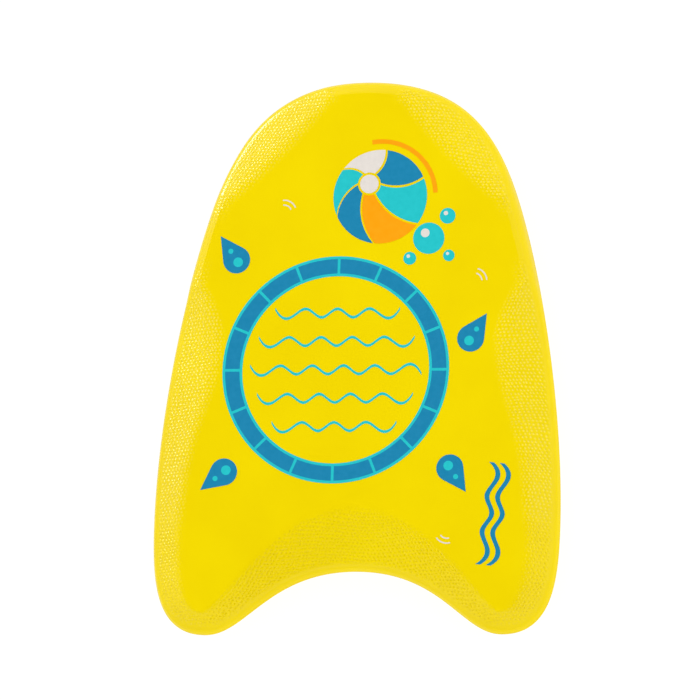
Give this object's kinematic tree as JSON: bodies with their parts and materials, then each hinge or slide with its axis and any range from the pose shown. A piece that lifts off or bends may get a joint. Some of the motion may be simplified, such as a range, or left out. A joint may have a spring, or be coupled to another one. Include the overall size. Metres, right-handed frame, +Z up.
{
  "type": "kickboard float",
  "caption": "Child's foam kickboard with a round nose, a notched tail, pebbled bevelled grip edges and a water-play print on its deck.",
  "frame": {"origin": "middle of the underside, in the plane that the board rests on", "axes": "+X to the board's right, +Y towards the nose, +Z up out of the printed deck"},
  "size_m": [0.285, 0.387, 0.0302],
  "materials": {
    "eva_core": "matte",
    "eva_yellow": "matte",
    "ink_blue": "satin",
    "ink_turquoise": "satin",
    "ink_orange": "satin",
    "ink_white": "satin"
  },
  "bodies": {
    "root": {"foam_core": "eva_core", "deck_skin": "eva_yellow", "base_skin": "eva_yellow", "print_ring_segments": "ink_blue", "print_ring_lines": "ink_turquoise", "print_ripples": "ink_turquoise", "print_ball_white": "ink_white", "print_ball_blue": "ink_blue", "print_ball_turquoise": "ink_turquoise", "print_ball_orange": "ink_orange", "print_splash": "ink_orange", "print_bubbles": "ink_turquoise", "print_bubble_glints": "ink_white", "print_drops": "ink_blue", "print_drop_dots": "ink_turquoise", "print_ticks": "ink_white", "print_wave_mark": "ink_blue"}
  },
  "joints": []
}
